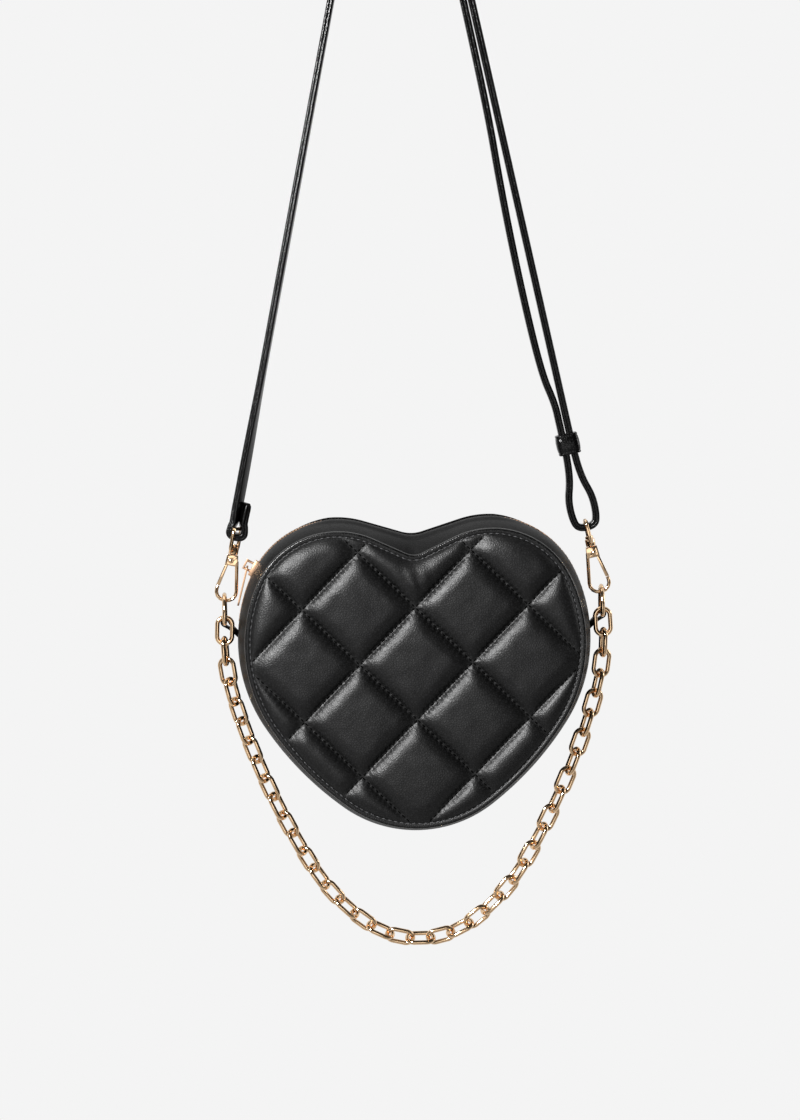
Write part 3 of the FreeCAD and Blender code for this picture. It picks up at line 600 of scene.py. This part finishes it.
def heart_panel(name, side, height, material):
    """side is -1 for the front, 1 for the back. The last ring closes on the panel's middle."""
    rings = [[(x, z, low) for x, z in seam_outline(inset)] for inset, low in UNDER_EDGE]
    for inset in PANEL_INSETS:
        rings.append([(x, z, height(x, z, inset)) for x, z in seam_outline(inset)])
    innermost = PANEL_INSETS[-1]
    inner = seam_outline(innermost)
    for k in range(1, PANEL_RINGS):
        edge = innermost + INNER_REACH * k / PANEL_RINGS
        ring = [toward_middle(x, z, 1 - k / PANEL_RINGS) for x, z in inner]
        rings.append([(x, z, height(x, z, edge)) for x, z in ring])
    verts = [place(x, side * (SEAM_Y + h), z) for ring in rings for x, z, h in ring]
    faces = tube_faces(len(rings), OUTLINE)
    middle_x, middle_z = HEART_MIDDLE
    top = height(middle_x, middle_z, DEEP_INSIDE)
    verts.append(place(middle_x, side * (SEAM_Y + top), middle_z))
    last = (len(rings) - 1) * OUTLINE
    faces += [(last + i, last + (i + 1) % OUTLINE, len(verts) - 1) for i in range(OUTLINE)]
    verts.append(place(middle_x, side * (SEAM_Y + UNDER_EDGE[0][1]), middle_z))
    faces += [((i + 1) % OUTLINE, i, len(verts) - 1) for i in range(OUTLINE)]
    piece = piece_from(name, verts, faces, material, "bag")
    rim = piece.data.attributes.new("rim", "FLOAT", "POINT")
    rim.data.foreach_set("value", [float(i // OUTLINE in RUBBED_RINGS) for i in range(len(verts))])
    return piece


front_panel = heart_panel("quilted_front", -1, quilt_height, panel_leather)
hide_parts("front_panel")
back_panel = heart_panel("plain_back", 1, plain_height, panel_leather)
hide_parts("back_panel")


# Stitches: one small rounded dash, copied along each sewn line

DASH, QUILT_DASH_THICK, RIM_DASH_THICK = 2.2, 0.8, 0.7
QUILT_PROUD, RIM_PROUD = 0.1, 0.06  # how far a dash's middle stands out of the leather
CHANNEL_END = 3.6  # stitches in the channels stop this far from the edge
CHANNEL_ROWS, CHANNEL_DASHES = range(-3, 4), range(-60, 60)


def dash(length, thick):
    clear_selection()
    bpy.ops.mesh.primitive_uv_sphere_add(segments=8, ring_count=6, radius=0.5)
    model = bpy.context.object
    bpy.ops.object.mode_set(mode="EDIT")
    bpy.ops.mesh.select_all(action="SELECT")
    bpy.ops.transform.resize(value=(thick * MM, thick * MM, length * MM))
    bpy.ops.object.mode_set(mode="OBJECT")
    return take_shape(model)


def sewn_line(name, spots, thick, thread, body):
    """spots are places with the direction of the thread."""
    one_verts, one_faces = dash(DASH, thick)
    verts, faces = [], []
    for at, along in spots:
        turn = along.to_track_quat("Z", "Y").to_matrix()
        base = len(verts)
        verts += [at + turn @ v for v in one_verts]
        faces += [tuple(base + i for i in face) for face in one_faces]
    piece = piece_from(name, verts, faces, thread, body)


def spaced(line, pitch):
    """Places every pitch along a line, with its direction there."""
    spots, travelled, due = [], 0.0, pitch * MM / 2
    for a, b in zip(line, line[1:]):
        run = (b - a).length
        while run and travelled + run >= due:
            spots.append((a.lerp(b, (due - travelled) / run), (b - a).normalized()))
            due += pitch * MM
        travelled += run
    return spots


def rim_spots(side, height):
    ring = []
    for x, z in seam_outline(GROOVE):
        ring.append(place(x, side * (SEAM_Y + height(x, z, GROOVE) + RIM_PROUD), z))
    return spaced(ring + ring[:1], STITCH)


def quilt_spots():
    edge = KDTree(OUTLINE)
    ring = seam_outline(0)
    for i, (x, z) in enumerate(ring):
        edge.insert((x, z, 0), i)
    edge.balance()

    def depth_inside(x, z):
        """Distance to the panel's edge, below 0 outside it."""
        point, index, distance = edge.find((x, z, 0))
        before, after = ring[index - 1], ring[(index + 1) % OUTLINE]
        run, rise = after[0] - before[0], after[1] - before[1]
        inside = run * (z - point[1]) - rise * (x - point[0]) < 0
        return distance if inside else -distance

    spots = []
    for lean in (1, -1):
        for row in CHANNEL_ROWS:
            for k in CHANNEL_DASHES:
                along = (k + 0.5) * STITCH / math.sqrt(2)
                x = row * QUILT / 2 + along
                z = QUILT_Z + lean * (along - row * QUILT / 2)
                depth = depth_inside(x, z)
                if depth > CHANNEL_END:
                    height = quilt_height(x, z, min(depth, DEEP_INSIDE))
                    at = place(x, -SEAM_Y - height - QUILT_PROUD, z)
                    spots.append((at, Vector((1, 0, lean)).normalized()))
    return spots


sewn_line("quilt_stitches", quilt_spots(), QUILT_DASH_THICK, quilt_thread, "bag")
sewn_line("front_rim_stitches", rim_spots(-1, quilt_height), RIM_DASH_THICK, rim_thread, "bag")
sewn_line("back_rim_stitches", rim_spots(1, plain_height), RIM_DASH_THICK, rim_thread, "bag")


# Gusset, zip facings, tapes and lining: strips of the bag's side, each with its own thickness

LEATHER_LAYER = (0, 1.6)  # inset from the outside, and thickness
TAPE_LAYER = (1.62, 0.86)
LINING_LAYER = (2.6, 0.8)
FACING_Y, TAPE_Y, TAPE_OUTER_Y = 6, 1.4, 11.9
LINING_Y, LINING_ZIP_Y = 24.1, 12.5
FACING_ROLL, FACING_ROLL_Y, FACING_ROLL_HALF = 1.1, 7.5, 5
FACING_ROLL_END_X, FACING_ROLL_FADE = 60, 16
SHARP_FOLD = math.radians(40)


def side_strip(name, span, depths, layer, material, outline):
    """A span of the outline's points, which may run past the cleft, swept over the depths."""
    first, last = span
    inset, thick = layer
    picks = [i % OUTLINE for i in range(first, last + 1)]
    verts = []
    for wall in (inset, inset + thick):
        for y in depths:
            ring = outline(wall, y)
            verts += [place(ring[i][0], y, ring[i][1]) for i in picks]
    wide, deep = len(picks), len(depths)
    inner = wide * deep
    faces = []
    for r in range(deep - 1):
        for i in range(wide - 1):
            quad = (r * wide + i, r * wide + i + 1, (r + 1) * wide + i + 1, (r + 1) * wide + i)
            faces += [quad, tuple(inner + v for v in reversed(quad))]
    rim = [i for i in range(wide)] + [r * wide + wide - 1 for r in range(1, deep)]
    rim += [(deep - 1) * wide + i for i in range(wide - 2, -1, -1)]
    rim += [r * wide for r in range(deep - 2, 0, -1)]
    faces += [(rim[k], rim[k - 1], inner + rim[k - 1], inner + rim[k]) for k in range(len(rim))]
    piece = piece_from(name, verts, faces, material, "bag")
    select_alone(piece)
    bpy.ops.object.shade_smooth_by_angle(angle=SHARP_FOLD)
    return piece


def depths_between(low, high, steps):
    return [low + (high - low) * k / steps for k in range(steps + 1)]


def facing_outline(inset, y):
    """The facings roll up beside the zip, most between the tops of the lobes."""
    roll = max(0.0, 1 - ((abs(y) - FACING_ROLL_Y) / FACING_ROLL_HALF) ** 2)
    mixed = []
    for low, high in zip(bulge_outline(inset, y), bulge_outline(inset - FACING_ROLL * roll, y)):
        share = unit((FACING_ROLL_END_X - abs(low[0])) / FACING_ROLL_FADE)
        mixed.append((low[0] + (high[0] - low[0]) * share, low[1] + (high[1] - low[1]) * share))
    return mixed


def dress_side(name, node, slot_name, *strip):
    piece = side_strip(name, *strip)
    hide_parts(node)


LOWER = (SPLIT, OUTLINE - SPLIT)
UPPER = (OUTLINE - SPLIT, OUTLINE + SPLIT)
dress_side(
    "lower_gusset_leather", "lower_gusset", "black_leather",
    LOWER, depths_between(-SEAM_Y, SEAM_Y, steps=26), LEATHER_LAYER, gusset_leather, bulge_outline,
)
for name, node, low, high in (
    ("zip_facing_front_leather", "zip_facing_front", -SEAM_Y, -FACING_Y),
    ("zip_facing_back_leather", "zip_facing_back", FACING_Y, SEAM_Y),
):
    depths = depths_between(low, high, steps=12)
    dress_side(
        name, node, "black_leather", UPPER, depths, LEATHER_LAYER, gusset_leather, facing_outline
    )
for name, node, low, high in (
    ("zip_tape_front_cloth", "zip_tape_front", -TAPE_OUTER_Y, -TAPE_Y),
    ("zip_tape_back_cloth", "zip_tape_back", TAPE_Y, TAPE_OUTER_Y),
):
    depths = depths_between(low, high, steps=6)
    dress_side(name, node, "zip_tape", UPPER, depths, TAPE_LAYER, tape_cloth, bulge_outline)


def gusset_lining():
    strips = []
    for name, span, low, high in (
        ("low", LOWER, -LINING_Y, LINING_Y),
        ("front", UPPER, -LINING_Y, -LINING_ZIP_Y),
        ("back", UPPER, LINING_ZIP_Y, LINING_Y),
    ):
        depths = depths_between(low, high, steps=2)
        strips.append(
            side_strip("lining_" + name, span, depths, LINING_LAYER, lining_cloth, straight_outline)
        )
    clear_selection()
    for strip in strips:
        strip.select_set(True)
    bpy.context.view_layer.objects.active = strips[0]
    bpy.ops.object.join()
    strips[0].name = "gusset_lining_cloth"
    return strips[0]


PLATE_INSET = 3.5
PLATE_LEVELS = (  # distance from the bag's middle plane, and share of the heart's size
    (24.2, 0.02), (24.2, 0.5), (24.2, 1), (25, 1), (25, 0.5), (25, 0.02),
)


def lining_plate(name, side):
    """A flat heart of cloth against the inside of a panel."""
    verts = []
    for y, share in PLATE_LEVELS:
        ring = [toward_middle(*point, share) for point in seam_outline(PLATE_INSET)]
        verts += [place(x, side * y, z) for x, z in ring]
    faces = tube_faces(len(PLATE_LEVELS), OUTLINE)
    last = (len(PLATE_LEVELS) - 1) * OUTLINE
    faces += [tuple(range(OUTLINE)), tuple(range(last, last + OUTLINE))]
    return piece_from(name, verts, faces, lining_cloth, "bag", smooth=False)


def line_bag():
    for piece, node in (
        (gusset_lining(), "gusset_lining"),
        (lining_plate("front_lining_cloth", -1), "front_lining"),
        (lining_plate("back_lining_cloth", 1), "back_lining"),
    ):
        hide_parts(node)


line_bag()


# Side tabs: a strip from the cross seam, round the ring's bar and back

TAB_Y = 2.75
TAB_SEAM_X, TAB_SEAM_Z = 91.5, -11.5
TAB_HALF_GAP, TAB_NECK, TAB_BEND = 0.62, 5, 2.0
TAB_THICK, TAB_WIDTH, TAB_CORNER = 1.2, 7.5, 0.4


def side_tab(name, node, side):
    bar, seam = Vector((RING_X, TAB_Y, RING_Z)), Vector((TAB_SEAM_X, TAB_Y, TAB_SEAM_Z))
    along = (seam - bar).normalized()
    across = Vector((-along.z, 0, along.x))
    apart = across * TAB_HALF_GAP
    corners = [seam + apart, bar + along * TAB_NECK + apart]
    for degrees in (55, 90, 135, 180, 225, 270, 305):
        turn = math.radians(degrees)
        corners.append(bar + (along * math.cos(turn) + across * math.sin(turn)) * TAB_BEND)
    corners += [bar + along * TAB_NECK - apart, seam - apart]
    line = curve_line(name + " route", [place(side * c.x, c.y, c.z) for c in corners], steps=6)
    section = band_section(TAB_THICK, TAB_WIDTH, TAB_CORNER, 0)
    piece = swept_band(name, line, section, gusset_leather, "bag")
    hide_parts(node)


side_tab("right_tab_leather", "right_tab", 1)
side_tab("left_tab_leather", "left_tab", -1)


# Chain handle: one oval link, copied along the chain's arcs

CHAIN_ARCS = ((106.0, 59.0), (378.0, 74.0), (115.0, 94.5))  # radius, and slope at its end
BELLY_END = 36.5
CHAIN_Y = -4
LINKS = 39
LINK_WIRE, LINK_WIDTH, LINK_GAP, RING_WIRE = 1.2, 5.6, 0.7, 1.2
LINK_ROLL, LINK_ROLL_LOSS, LINK_ROLL_STEP = 42, 28, 12  # degrees


def chain_run():
    """The arcs from the lowest point up, and half the chain's length."""
    start, out = BELLY_END, 0.0
    for radius, end in CHAIN_ARCS:
        out += radius * (math.sin(math.radians(end)) - math.sin(math.radians(start)))
        start = end
    arcs = (((RING_X - out) / math.sin(math.radians(BELLY_END)), BELLY_END),) + CHAIN_ARCS
    start, half = 0.0, 0.0
    for radius, end in arcs:
        half += radius * math.radians(end - start)
        start = end
    return arcs, half


def on_chain(arcs, distance):
    """Place and slope at a distance from the lowest point, to the right of it where positive."""
    rest, x, z, start = abs(distance), 0.0, 0.0, 0.0
    for radius, end in arcs:
        run = min(rest, radius * math.radians(end - start))
        angle = start + math.degrees(run / radius)
        x += radius * (math.sin(math.radians(angle)) - math.sin(math.radians(start)))
        z += radius * (math.cos(math.radians(start)) - math.cos(math.radians(angle)))
        rest, start = rest - run, angle
    side = math.copysign(1, distance)
    return side * x, z, math.radians(side * start)


def oval_link(inner):
    """A ring of wire whose two halves are drawn apart to the link's inner length."""
    clear_selection()
    bend = LINK_WIDTH / 2 + LINK_WIRE
    bpy.ops.mesh.primitive_torus_add(
        major_segments=22, minor_segments=12, major_radius=bend * MM, minor_radius=LINK_WIRE * MM
    )
    model = bpy.context.object
    for side in (1, -1):
        bpy.ops.object.mode_set(mode="EDIT")
        bpy.ops.mesh.select_all(action="DESELECT")
        bpy.ops.object.mode_set(mode="OBJECT")
        for vertex in model.data.vertices:
            vertex.select = vertex.co.x * side > 0
        bpy.ops.object.mode_set(mode="EDIT")
        bpy.ops.transform.translate(value=(side * (inner / 2 + LINK_WIRE - bend) * MM, 0, 0))
        bpy.ops.object.mode_set(mode="OBJECT")
    return take_shape(model)


def chain_links():
    """Every second link is turned on edge, and all of them roll a little, more on the left."""
    arcs, half = chain_run()
    pitch = (2 * half + LINK_GAP + 2 * RING_WIRE) / LINKS
    inner = pitch + LINK_GAP
    drop = on_chain(arcs, half)[1]
    one_verts, one_faces = oval_link(inner)
    last = LINKS - 1
    runs = {"chain_end_links": ([], []), "chain_links": ([], [])}
    for k in range(LINKS):
        x, z, slope = on_chain(arcs, inner / 2 - RING_WIRE - LINK_GAP - half + k * pitch)
        roll = min(LINK_ROLL - LINK_ROLL_LOSS * k / last, LINK_ROLL_STEP * min(k, last - k))
        on_edge = math.radians(90 * (k % 2 + 1) + roll)
        turn = Matrix.Rotation(-slope, 4, "Y") @ Matrix.Rotation(on_edge, 4, "X")
        seat = Matrix.Translation(place(x, CHAIN_Y, z + RING_Z - drop)) @ turn
        verts, faces = runs["chain_end_links" if k in (0, last) else "chain_links"]
        base = len(verts)
        verts += [seat @ v for v in one_verts]
        faces += [tuple(base + i for i in face) for face in one_faces]
    for node, body in (("chain_end_links", "bag"), ("chain_links", "chain")):
        piece = piece_from(node + "_round", *runs[node], gold_metal, body)
        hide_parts(node)


chain_links()


# Rings, hooks and zip fittings: their own shapes with sharp edges broken and bends made smooth

FITTINGS = ("d_ring", "hook_body", "hook_gate", "swivel_eye", "zip_slider", "zip_pull", "zip_stops")
BROKEN_EDGE = 0.00022  # metres
FLAT_ANGLE, SHARP_ANGLE, SMOOTH_ANGLE = math.radians(1), math.radians(55), math.radians(50)


def polished_copy(node, body):
    piece = bpy.data.objects.new(node + "_polished", frame["nodes"][node].data.copy())
    bpy.context.collection.objects.link(piece)
    piece.data.materials.clear()
    piece.data.materials.append(tooth_metal if node.startswith("zip") else gold_metal)
    select_alone(piece)
    bpy.ops.object.mode_set(mode="EDIT")
    bpy.ops.mesh.select_all(action="SELECT")
    bpy.ops.mesh.remove_doubles(threshold=MERGE)
    bpy.ops.mesh.dissolve_limited(angle_limit=FLAT_ANGLE)
    bpy.ops.object.mode_set(mode="OBJECT")
    edge = piece.modifiers.new("broken edges", "BEVEL")
    edge.width = BROKEN_EDGE
    edge.segments = 2
    edge.limit_method = "ANGLE"
    edge.angle_limit = SHARP_ANGLE
    bpy.ops.object.modifier_apply(modifier=edge.name)
    bpy.ops.object.shade_smooth_by_angle(angle=SMOOTH_ANGLE)
    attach(piece, body)
    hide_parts(node)


for body, nodes in frame["record"]["behaviour"]["bodies"].items():
    for node in nodes:
        if node.endswith(FITTINGS):
            polished_copy(node, body)


# Rivets of the hooks: an outline with a ringed head at each end, spun about the gate's pin

RIVET_HALF = (  # radius, and distance from the hook's middle plane
    (0, 3.0), (0.35, 2.98), (0.65, 2.9), (0.85, 2.78), (0.95, 2.72), (1.1, 2.82),
    (1.3, 2.82), (1.45, 2.72), (1.5, 2.55), (1.5, 2.4), (0.8, 2.4),
)


def rivet(side, node, body):
    outline = [(r, -y) for r, y in RIVET_HALF] + [(r, y) for r, y in reversed(RIVET_HALF)]
    pin = beside_hook(side, *GATE_PIN)
    points = [pin + Vector((r, y, 0)) * MM for r, y in outline]
    mesh = bpy.data.meshes.new(node)
    mesh.from_pydata(points, [(k, k + 1) for k in range(len(points) - 1)], [])
    model = bpy.data.objects.new(node, mesh)
    bpy.context.collection.objects.link(model)
    select_alone(model)
    bpy.ops.object.mode_set(mode="EDIT")
    bpy.ops.mesh.select_all(action="SELECT")
    bpy.ops.mesh.spin(steps=28, angle=2 * math.pi, center=pin, axis=(0, 1, 0))
    bpy.ops.mesh.select_all(action="SELECT")
    bpy.ops.mesh.remove_doubles(threshold=MERGE)
    bpy.ops.object.mode_set(mode="OBJECT")
    piece = piece_from(node + "_ringed", *take_shape(model), gold_metal, body)
    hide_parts(node)


rivet(1, "right_gate_pin", "right_hook")
rivet(-1, "left_gate_pin", "left_hook")


# Light, floor and background, in metres

FLOOR_SIZE, FLOOR_Z = 8, -0.9
PALE_TONE = (0.905, 0.905, 0.905, 1)
ROOM_TONE = (0.015, 0.015, 0.015, 1)
FLOOR_TONE = (0.22, 0.22, 0.22, 1)
LAMPS = (  # name, place, size and power
    ("window light", (-0.95, -1.45, 0.4), 0.46, 66),
    ("front softbox", (-0.1, -2.2, -0.75), 1.2, 5.5),
    ("right strip", (1.4, 0.1, -0.1), 0.5, 3),
    ("top light", (-0.2, 0.2, 0.7), 0.7, 2.5),
)


def lamp(name, at, aim, size, power):
    light = bpy.data.lights.new(name, "AREA")
    light.shape = "DISK"
    light.size = size
    light.energy = power
    holder = bpy.data.objects.new(name, light)
    bpy.context.collection.objects.link(holder)
    holder.location = at
    holder.rotation_euler = (Vector(at) - aim).to_track_quat("Z", "Y").to_euler()


def pale_ground(nodes, links, shader, output, side, camera_share):
    """The pale tone that the camera and bright metal see, over a shader that takes the light.

    side runs from front to back, because metal sees the room dimmer to the front.
    """
    glow = add_node(nodes, "ShaderNodeEmission", {"Color": PALE_TONE})
    rays = nodes.new("ShaderNodeLightPath").outputs
    behind = add_node(
        nodes, "ShaderNodeMapRange",
        {"From Min": -0.25, "From Max": 0.25, "To Min": 0.045, "To Max": 0.85},
    )
    links.new(side, behind.inputs["Value"])
    shiny = add_math(nodes, links, "MAXIMUM", rays["Is Glossy Ray"], rays["Is Transmission Ray"])
    dimmed = add_math(nodes, links, "MULTIPLY", shiny, behind.outputs["Result"])
    direct = add_math(nodes, links, "MULTIPLY", rays["Is Camera Ray"], camera_share)
    total = add_math(nodes, links, "MAXIMUM", direct, dimmed)
    mix = nodes.new("ShaderNodeMixShader")
    links.new(total, mix.inputs["Fac"])
    links.new(shader, mix.inputs[1])
    links.new(glow.outputs["Emission"], mix.inputs[2])
    links.new(mix.outputs["Shader"], output)


def pale_room():
    world = bpy.data.worlds.new("pale room")
    bpy.context.scene.world = world
    world.use_nodes = True
    nodes, links = world.node_tree.nodes, world.node_tree.links
    room = nodes["Background"]
    room.inputs["Color"].default_value = ROOM_TONE
    direction = nodes.new("ShaderNodeTexCoord")
    split = nodes.new("ShaderNodeSeparateXYZ")
    links.new(direction.outputs["Generated"], split.inputs["Vector"])
    rays = nodes.new("ShaderNodeLightPath").outputs
    output = nodes["World Output"].inputs["Surface"]
    seen = rays["Is Camera Ray"]
    pale_ground(nodes, links, room.outputs["Background"], output, split.outputs["Y"], seen)


def pale_floor():
    clear_selection()
    bpy.ops.mesh.primitive_plane_add(size=FLOOR_SIZE, location=(0, 0, FLOOR_Z))
    floor = bpy.context.object
    floor.name = "floor"
    paint, nodes, links, shader = new_material("pale floor")
    shader.inputs["Base Color"].default_value = FLOOR_TONE
    shader.inputs["Roughness"].default_value = 0.9
    where = nodes.new("ShaderNodeTexCoord")
    split = nodes.new("ShaderNodeSeparateXYZ")
    links.new(where.outputs["Object"], split.inputs["Vector"])
    apart = nodes.new("ShaderNodeVectorMath")
    apart.operation = "LENGTH"
    links.new(where.outputs["Object"], apart.inputs[0])
    spread = add_node(
        nodes, "ShaderNodeMapRange", {"From Min": 0.1, "From Max": 0.68, "To Min": 0.72}
    )
    links.new(apart.outputs["Value"], spread.inputs["Value"])
    output = nodes["Material Output"].inputs["Surface"]
    seen = spread.outputs["Result"]
    pale_ground(nodes, links, shader.outputs["BSDF"], output, split.outputs["Y"], seen)
    floor.data.materials.append(paint)


def studio():
    purse_middle = place(0, 0, -30)
    for name, at, size, power in LAMPS:
        lamp(name, at, purse_middle, size, power)
    bpy.context.scene.view_settings.view_transform = "Standard"
    pale_room()
    pale_floor()


studio()

# Finishes of the solids themselves, of which the zip's teeth and the gate springs still show
NODE_FINISHES = (
    ("lining", lining_cloth), ("tape", tape_cloth), ("teeth", tooth_metal), ("stops", tooth_metal),
    ("spring", spring_metal), ("panel", gusset_leather), ("gusset", gusset_leather),
    ("facing", gusset_leather), ("tab", gusset_leather), ("keeper", gusset_leather),
)
for name, node in frame["nodes"].items():
    finish = next((finish for word, finish in NODE_FINISHES if word in name), gold_metal)
    node.data.materials.clear()
    node.data.materials.append(finish)
